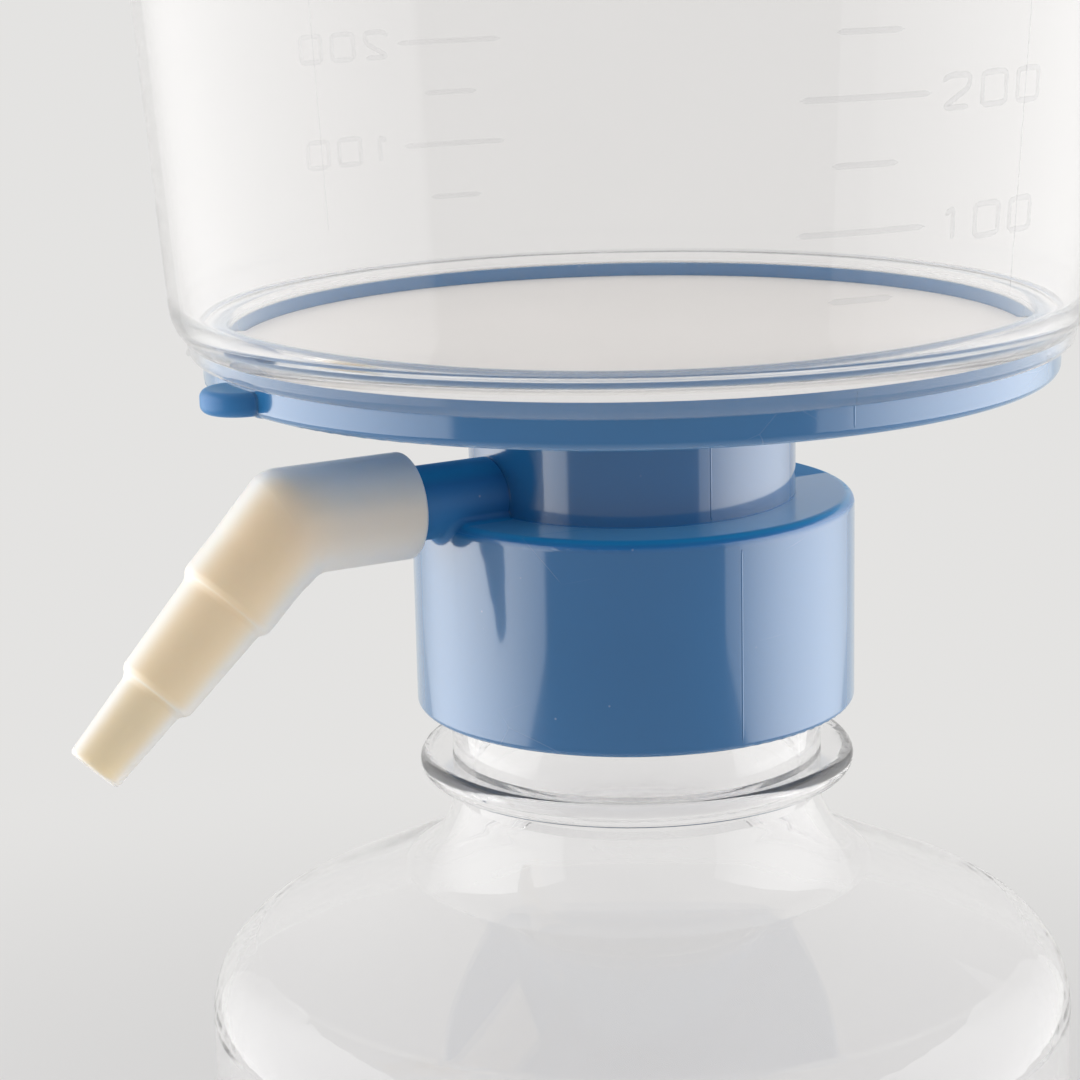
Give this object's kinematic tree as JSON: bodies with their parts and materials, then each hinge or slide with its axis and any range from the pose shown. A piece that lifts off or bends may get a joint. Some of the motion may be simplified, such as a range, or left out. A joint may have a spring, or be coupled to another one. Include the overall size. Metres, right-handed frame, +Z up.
{
  "type": "vacuum filtration unit",
  "caption": "Bottle-top vacuum filtration unit: clear funnel and lid over a ribbed membrane seat with a side port and elbow hose adapter, screwed on a clear bottle.",
  "frame": {"origin": "on the bottle's axis at the level of its standing ring", "axes": "+Z up along the common axis of bottle, collar and funnel; the vacuum port and its hose adapter point along -X"},
  "size_m": [0.1319, 0.1278, 0.3375],
  "materials": {
    "clear_bottle": "clear, gloss",
    "clear_funnel": "clear, gloss",
    "clear_lid": "clear, gloss",
    "blue_plastic": "opaque, smooth moulded gloss",
    "membrane_white": "matt, microporous",
    "cream_plastic": "smooth moulded, half-matt",
    "seal": "soft, matt"
  },
  "bodies": {
    "bottle": {"bottle": "clear_bottle"},
    "neck_gasket": {"neck_gasket": "seal"},
    "filter_top": {"filter_base": "blue_plastic", "membrane": "membrane_white", "funnel": "clear_funnel", "lid": "clear_lid"},
    "hose_adapter": {"hose_adapter": "cream_plastic"}
  },
  "joints": [
    {"name": "unscrew_rise", "type": "slide", "parent": "bottle", "child": "neck_gasket", "axis": [0, 0, 1], "range_m": [0, 0.00645]},
    {"name": "unscrew_turn", "type": "hinge", "parent": "neck_gasket", "child": "filter_top", "pos_m": [0, 0, 0.1897], "axis": [0, 0, 1], "range_deg": [0, 576]},
    {"name": "adapter_swivel", "type": "hinge", "parent": "filter_top", "child": "hose_adapter", "pos_m": [-0.035, 0, 0.19385], "axis": [-1, 0, 0], "range_deg": [-120, 120]}
  ],
  "couplings": [
    {"joint": "unscrew_rise", "follows": "unscrew_turn", "m_per_rad": 0.00063662}
  ]
}
